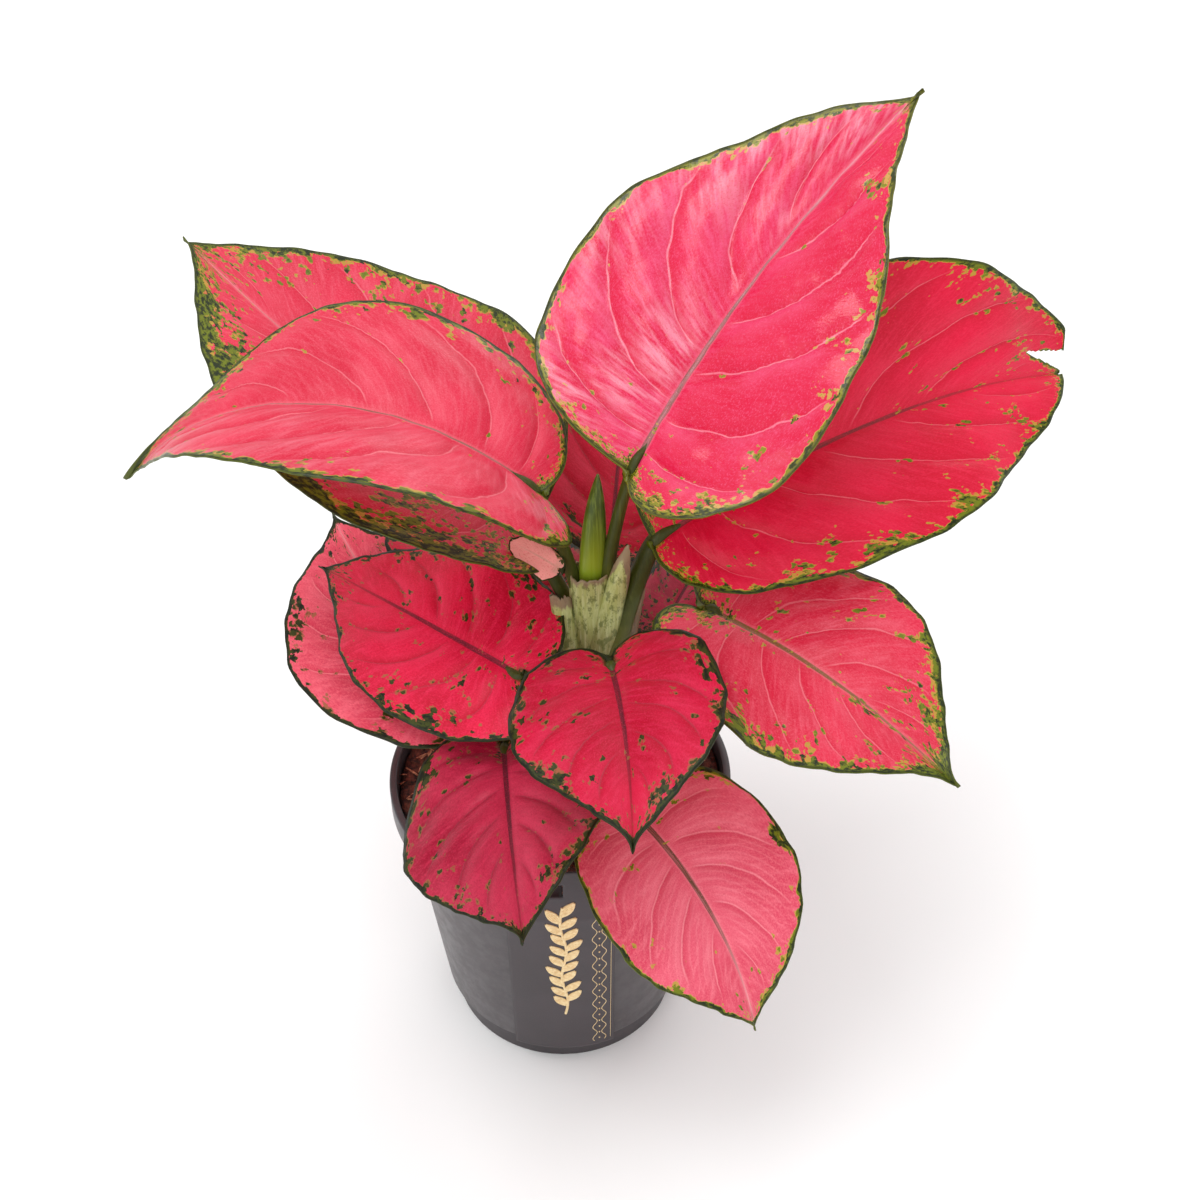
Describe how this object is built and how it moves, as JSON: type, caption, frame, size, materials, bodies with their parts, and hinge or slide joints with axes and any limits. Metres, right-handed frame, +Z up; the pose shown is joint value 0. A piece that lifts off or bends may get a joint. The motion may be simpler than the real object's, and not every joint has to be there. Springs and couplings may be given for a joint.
{
  "type": "potted red joy chinese evergreen",
  "caption": "Bushy house plant with pink to crimson, dark-edged heart-shaped leaves around a rolled new leaf, in a dark round nursery pot with a hung card.",
  "frame": {"origin": "middle of the pot's flat base", "axes": "+Z up the pot's axis, -Y towards the card on the front of the pot, +X to the right of the card"},
  "size_m": [0.3151, 0.2308, 0.3286],
  "materials": {
    "pot_plastic": "smooth satin black plastic",
    "label_card": "satin printed card with gold ornament",
    "soil": "loose dark peat with red-brown fibres",
    "stem_flesh": "smooth waxy green, paler towards the base",
    "young_leaf": "glossy yellow-green, darker at the tip",
    "leaf_pink": "waxy coral pink with a dark green edge and speckles",
    "leaf_red": "waxy crimson with a dark green edge and speckles",
    "leaf_pale": "soft salmon pink with a thin dark green edge"
  },
  "bodies": {
    "root": {"pot": "pot_plastic", "label": "label_card", "soil": "soil", "stem_main": "stem_flesh", "stem_left": "stem_flesh", "stem_right": "stem_flesh", "spear": "young_leaf", "leaf_01": "leaf_pink", "leaf_02": "leaf_pink", "leaf_03": "leaf_red", "leaf_04": "leaf_red", "leaf_05": "leaf_red", "leaf_06": "leaf_red", "leaf_07": "leaf_pale", "leaf_08": "leaf_red", "leaf_09": "leaf_red", "leaf_10": "leaf_pale", "leaf_11": "leaf_pink", "leaf_12": "leaf_red", "leaf_13": "leaf_red"}
  },
  "joints": []
}
